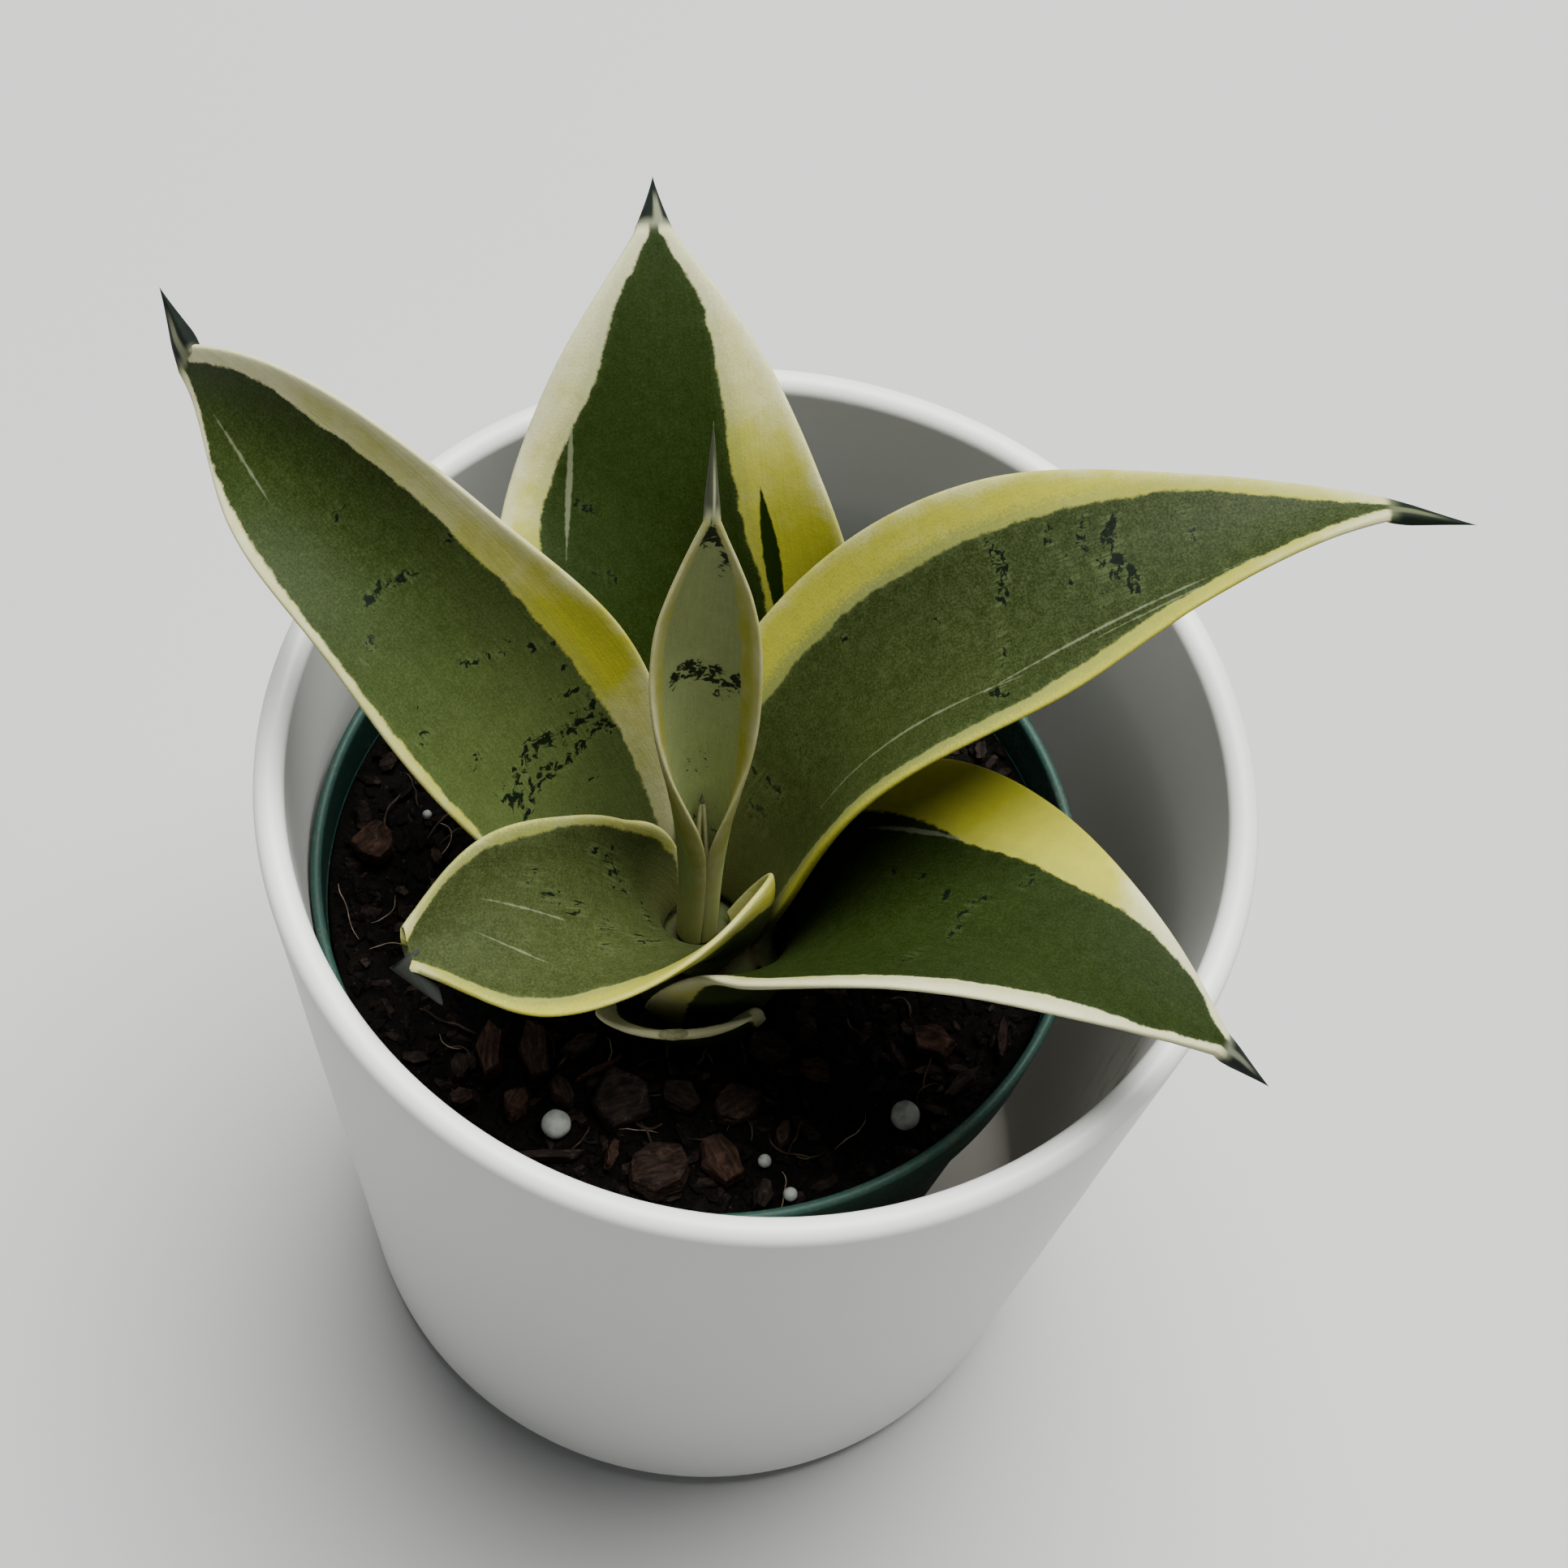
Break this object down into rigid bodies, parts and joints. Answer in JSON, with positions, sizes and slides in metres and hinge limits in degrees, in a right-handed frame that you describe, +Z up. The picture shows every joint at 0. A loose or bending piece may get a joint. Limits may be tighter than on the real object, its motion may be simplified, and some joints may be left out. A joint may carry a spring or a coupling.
{
  "type": "potted snake plant",
  "caption": "Small variegated rosette snake plant with broad channelled leaves, in a plastic nursery pot standing inside a plain tapered white cachepot.",
  "frame": {"origin": "centre of the flat underside of the cachepot, on the surface it stands on", "axes": "+Z up; -Y towards the side the plant is seen from, +X to that viewer's right"},
  "size_m": [0.1663, 0.13, 0.1964],
  "materials": {
    "cachepot": "plain white satin glaze",
    "nursery_pot": "thin dark green plastic",
    "soil": "near-black damp potting mix",
    "crown": "pale green rootstock",
    "leaf": "satin leaf skin, green with yellow to cream margins and near-black spike",
    "bark": "rough dark red-brown bark",
    "grain": "chalky grey-white grain"
  },
  "bodies": {
    "root": {"cachepot": "cachepot", "nursery_pot": "nursery_pot", "potting_soil": "soil", "crown": "crown", "leaf_centre": "leaf", "leaf_front_left": "leaf", "leaf_right": "leaf", "leaf_left": "leaf", "leaf_front_right": "leaf", "leaf_back": "leaf", "leaf_low_front": "leaf", "leaf_new": "leaf", "bark_chip_01": "bark", "bark_chip_02": "bark", "bark_chip_03": "bark", "bark_chip_04": "bark", "bark_chip_05": "bark", "bark_chip_06": "bark", "bark_chip_07": "bark", "bark_chip_08": "bark", "bark_chip_09": "bark", "bark_chip_10": "bark", "bark_chip_11": "bark", "bark_chip_12": "bark", "bark_chip_13": "bark", "bark_chip_14": "bark", "bark_chip_15": "bark", "bark_chip_16": "bark", "bark_chip_17": "bark", "bark_chip_18": "bark", "bark_chip_19": "bark", "bark_chip_20": "bark", "bark_chip_21": "bark", "bark_chip_22": "bark", "bark_chip_23": "bark", "bark_chip_24": "bark", "bark_chip_25": "bark", "bead_01": "grain", "bead_02": "grain", "bead_03": "grain", "bead_04": "grain", "bead_05": "grain"}
  },
  "joints": []
}
